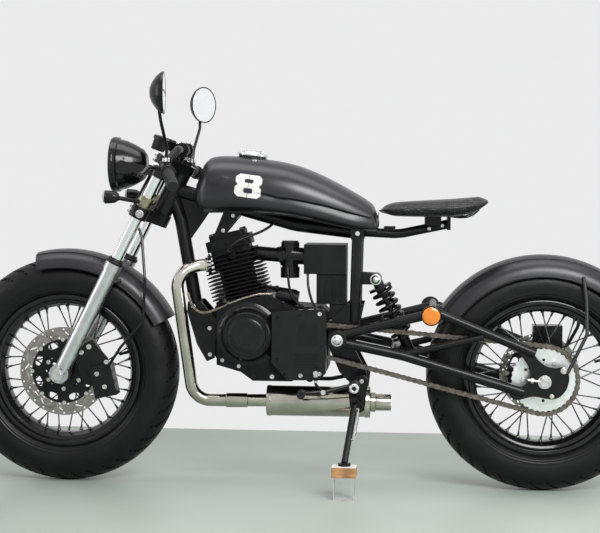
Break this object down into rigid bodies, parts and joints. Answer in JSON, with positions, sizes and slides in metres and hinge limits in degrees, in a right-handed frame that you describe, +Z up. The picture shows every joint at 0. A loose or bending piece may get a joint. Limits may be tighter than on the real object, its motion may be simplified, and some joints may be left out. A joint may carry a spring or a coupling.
{
  "type": "motorcycle",
  "caption": "Low custom bobber motorcycle with spoked wheels, finned engine, solo saddle and bare chain drive, leaning on its side stand over a small block",
  "frame": {"origin": "middle of the underside of the box of the whole machine, on the floor", "axes": "+X forward, +Y to the rider's left, +Z up"},
  "size_m": [1.98, 0.7919, 1.1586],
  "materials": {
    "frame_black": "satin",
    "tank_black": "satin",
    "engine_black": "satin",
    "black_trim": "satin",
    "chrome": "polished",
    "cast_alloy": "satin",
    "disc_steel": "satin",
    "exhaust_steel": "satin",
    "chain_steel": "satin",
    "tyre_rubber": "matte",
    "grip_rubber": "matte",
    "saddle_leather": "satin",
    "box_plastic": "matte",
    "red_plastic": "gloss",
    "amber_plastic": "gloss",
    "lamp_glass": "polished",
    "mirror_glass": "polished",
    "bare_wood": "matte"
  },
  "bodies": {
    "chassis": {"frame_front": "frame_black", "frame_rear": "frame_black", "tank": "tank_black", "tank_cap": "chrome", "seat": "saddle_leather", "seat_arm": "frame_black", "crankcase": "engine_black", "engine_covers": "engine_black", "barrel": "engine_black", "carburettor": "engine_black", "electrics_box": "box_plastic", "exhaust_pipe": "exhaust_steel", "muffler": "exhaust_steel", "swingarm": "frame_black", "swingarm_cross": "frame_black", "rear_axle": "disc_steel", "shock_body": "black_trim", "shock_spring": "black_trim", "chain": "chain_steel", "rear_fender": "black_trim", "tail_lamp": "red_plastic", "side_reflectors": "amber_plastic", "rear_caliper": "black_trim", "foot_controls": "black_trim", "stand_block": "bare_wood"},
    "stand": {"side_stand": "black_trim"},
    "rear_wheel": {"rear_tyre": "tyre_rubber", "rear_rim": "black_trim", "rear_hub": "black_trim", "rear_sprocket": "disc_steel", "rear_disc": "disc_steel"},
    "steering": {"fork_clamps": "black_trim", "fork_tubes": "chrome", "fork_sliders": "cast_alloy", "front_fender": "black_trim", "front_brake": "black_trim", "headlamp": "black_trim", "headlamp_lens": "lamp_glass", "handlebar": "black_trim", "grips": "grip_rubber", "mirrors": "black_trim", "mirror_glass": "mirror_glass", "speedometer": "box_plastic", "front_indicators": "black_trim"},
    "front_wheel": {"front_tyre": "tyre_rubber", "front_rim": "black_trim", "front_hub": "black_trim", "front_disc": "disc_steel"}
  },
  "joints": [
    {"name": "steering", "type": "hinge", "parent": "chassis", "child": "steering", "pos_m": [0.37051, -0.01375, 0.82323], "axis": [-0.4478, 0.0468, 0.8929], "range_deg": [-30, 30]},
    {"name": "front_wheel_spin", "type": "hinge", "parent": "steering", "child": "front_wheel", "pos_m": [0.67, -0.04014, 0.31965], "axis": [0, 0.9986, -0.0523], "continuous": true},
    {"name": "rear_wheel_spin", "type": "hinge", "parent": "chassis", "child": "rear_wheel", "pos_m": [-0.67, -0.04014, 0.31965], "axis": [0, 0.9986, -0.0523], "continuous": true},
    {"name": "side_stand_fold", "type": "hinge", "parent": "chassis", "child": "stand", "pos_m": [-0.161, 0.07603, 0.24347], "axis": [0.3462, 0.7714, 0.5339], "range_deg": [0, 105]}
  ]
}
